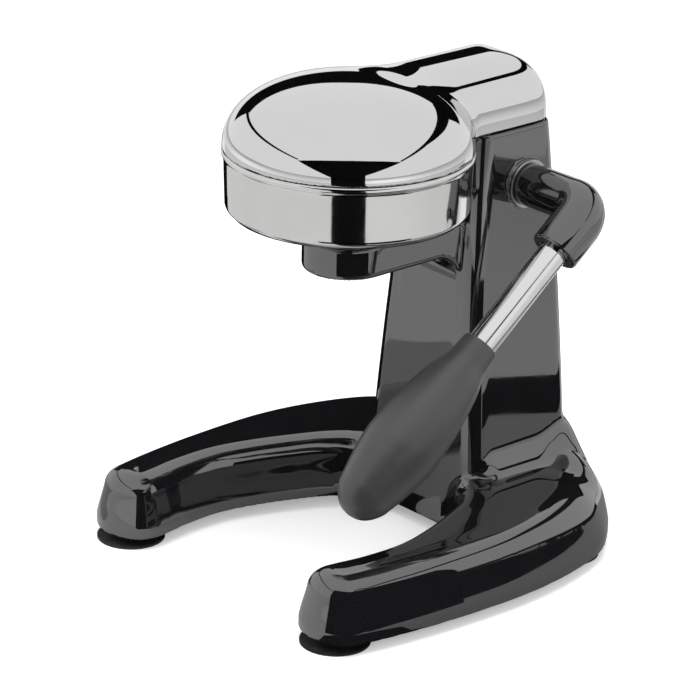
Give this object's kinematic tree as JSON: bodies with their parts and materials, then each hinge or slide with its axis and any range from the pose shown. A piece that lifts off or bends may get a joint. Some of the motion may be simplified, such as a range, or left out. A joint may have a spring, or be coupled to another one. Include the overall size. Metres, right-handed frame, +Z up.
{
  "type": "lever citrus juice press",
  "caption": "Hand citrus press: a side lever turns a pinion that lifts a chromed head with a press cup over a steel bowl on an arched black stand.",
  "frame": {"origin": "on the surface the press stands on, midway across its width and its length over all", "axes": "+Z up along the height; -Y towards the open arch and the bowl, where the user stands; +X towards the lever's side"},
  "size_m": [0.2046, 0.2118, 0.2363],
  "materials": {
    "black_enamel": "gloss black enamel on cast metal",
    "chrome": "mirror chrome plate on cast metal",
    "polished_steel": "polished drawn stainless steel",
    "bright_steel": "bright stainless steel",
    "machined_steel": "machined steel, oiled",
    "bronze": "plain bearing bronze",
    "soft_grip": "satin dark grey moulded grip",
    "rubber": "matte black rubber"
  },
  "bodies": {
    "stand": {"stand_casting": "black_enamel", "rack_guide": "bronze", "bush_left": "bronze", "bush_right": "bronze", "bore_cap_left": "black_enamel", "column_washer": "machined_steel", "juice_bowl": "polished_steel", "strainer": "bright_steel", "reamer_cone": "bright_steel", "foot_front_left": "rubber", "foot_screw_front_left": "machined_steel", "foot_front_right": "rubber", "foot_screw_front_right": "machined_steel", "foot_rear_left": "rubber", "foot_screw_rear_left": "machined_steel", "foot_rear_right": "rubber", "foot_screw_rear_right": "machined_steel"},
    "head": {"press_head": "chrome", "press_cup": "polished_steel", "press_cup_screw": "machined_steel", "rack_bar": "machined_steel", "rack_screw_lower": "machined_steel", "rack_screw_upper": "machined_steel"},
    "lever": {"pinion_gear": "machined_steel", "lever_shaft": "machined_steel", "pinion_pin": "machined_steel", "lever_elbow": "black_enamel", "elbow_screw": "machined_steel", "lever_rod": "bright_steel", "lever_grip": "soft_grip"}
  },
  "joints": [
    {"name": "head_slide", "type": "slide", "parent": "stand", "child": "head", "axis": [0, 0, 1], "range_m": [0, 0.0397]},
    {"name": "lever_turn", "type": "hinge", "parent": "stand", "child": "lever", "pos_m": [0, 0.06555, 0.1753], "axis": [-1, 0, 0], "range_deg": [0, 175]}
  ],
  "couplings": [
    {"joint": "lever_turn", "follows": "head_slide", "rad_per_m": 76.923}
  ]
}
